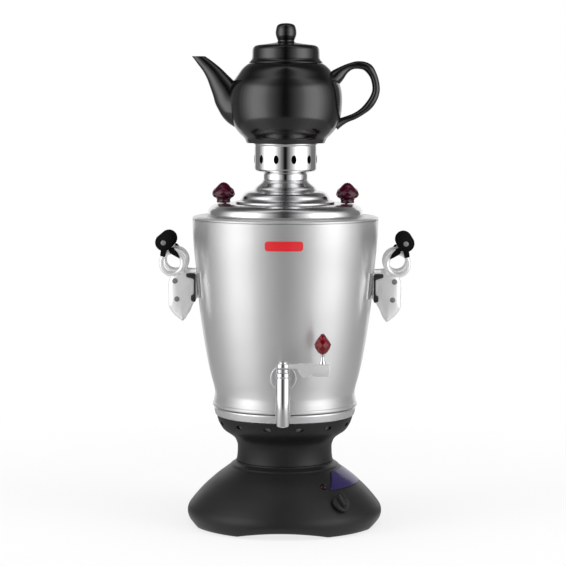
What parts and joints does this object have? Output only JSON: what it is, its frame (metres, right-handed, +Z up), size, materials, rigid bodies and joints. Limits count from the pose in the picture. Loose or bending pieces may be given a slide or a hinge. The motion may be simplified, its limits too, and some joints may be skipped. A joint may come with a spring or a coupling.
{
  "type": "electric samovar",
  "caption": "Electric samovar: spun steel vessel on a flared black base, plug tap with a lever, side handles, stepped lid and a black teapot on a pierced crown.",
  "frame": {"origin": "on the floor under the middle of the base", "axes": "+Z up, -Y towards the tap (the front), +X to the side the tap's lever points to at rest"},
  "size_m": [0.2802, 0.2228, 0.5475],
  "materials": {
    "black_plastic": "satin",
    "rubber": "matte",
    "satin_steel": "satin",
    "chrome": "polished",
    "zinc_plate": "zinc plated",
    "brass": "machined",
    "black_glaze": "gloss",
    "ruby_acrylic": "gloss",
    "dial_panel": "gloss",
    "wire_cover": "matte"
  },
  "bodies": {
    "samovar": {"base_skirt": "black_plastic", "base_collar": "black_plastic", "power_inlet": "black_plastic", "thermostat_body": "black_plastic", "grip_left": "black_plastic", "grip_right": "black_plastic", "foot_pad_1": "rubber", "foot_pad_2": "rubber", "foot_pad_3": "rubber", "foot_pad_4": "rubber", "tap_washer": "rubber", "handle_gasket_left": "rubber", "handle_gasket_right": "rubber", "vessel_body": "satin_steel", "shoulder_ring": "satin_steel", "heating_element": "satin_steel", "band_ring": "chrome", "tap_body": "chrome", "tap_rosette": "chrome", "tap_gland": "chrome", "handle_casting_left": "chrome", "handle_casting_right": "chrome", "grip_bolt_left": "chrome", "grip_bolt_right": "chrome", "grip_nut_left": "chrome", "grip_nut_right": "chrome", "base_plate": "zinc_plate", "base_screw_1": "zinc_plate", "base_screw_2": "zinc_plate", "base_screw_3": "zinc_plate", "base_screw_4": "zinc_plate", "tie_bolt": "zinc_plate", "handle_screw_left_front": "zinc_plate", "handle_screw_left_rear": "zinc_plate", "handle_screw_right_front": "zinc_plate", "handle_screw_right_rear": "zinc_plate", "heater_nut_left": "brass", "heater_nut_right": "brass", "tap_nut": "brass", "pilot_lamp": "ruby_acrylic", "dial_panel": "dial_panel", "wire_inlet_to_heater": "wire_cover", "wire_thermostat_to_heater": "wire_cover", "wire_inlet_to_thermostat": "wire_cover"},
    "thermostat_dial": {"thermostat_knob": "black_plastic", "thermostat_spindle": "brass"},
    "tap_key": {"tap_plug": "brass", "tap_lever": "chrome", "tap_cap": "chrome", "tap_knob": "ruby_acrylic"},
    "lid_with_crown": {"lid": "chrome", "lid_knob_left": "ruby_acrylic", "lid_knob_right": "ruby_acrylic", "lid_knob_screw_left": "zinc_plate", "lid_knob_screw_right": "zinc_plate", "neck_tube": "chrome", "crown_cup": "chrome"},
    "teapot": {"teapot_body": "black_glaze"},
    "teapot_cover": {"teapot_lid": "black_glaze"}
  },
  "joints": [
    {"name": "thermostat_turn", "type": "hinge", "parent": "samovar", "child": "thermostat_dial", "pos_m": [0.06035, -0.07321, 0.0317], "axis": [-0.4495, 0.5453, -0.7075], "range_deg": [0, 270]},
    {"name": "tap_turn", "type": "hinge", "parent": "samovar", "child": "tap_key", "pos_m": [0, -0.104, 0.168], "axis": [0, 0, -1], "range_deg": [0, 90]},
    {"name": "lid_lift", "type": "slide", "parent": "samovar", "child": "lid_with_crown", "axis": [0, 0, 1], "range_m": [0, 0.2]},
    {"name": "teapot_lift", "type": "slide", "parent": "lid_with_crown", "child": "teapot", "axis": [0, 0, 1], "range_m": [0, 0.12]},
    {"name": "teapot_lid_lift", "type": "slide", "parent": "teapot", "child": "teapot_cover", "axis": [0, 0, 1], "range_m": [0, 0.08]}
  ]
}
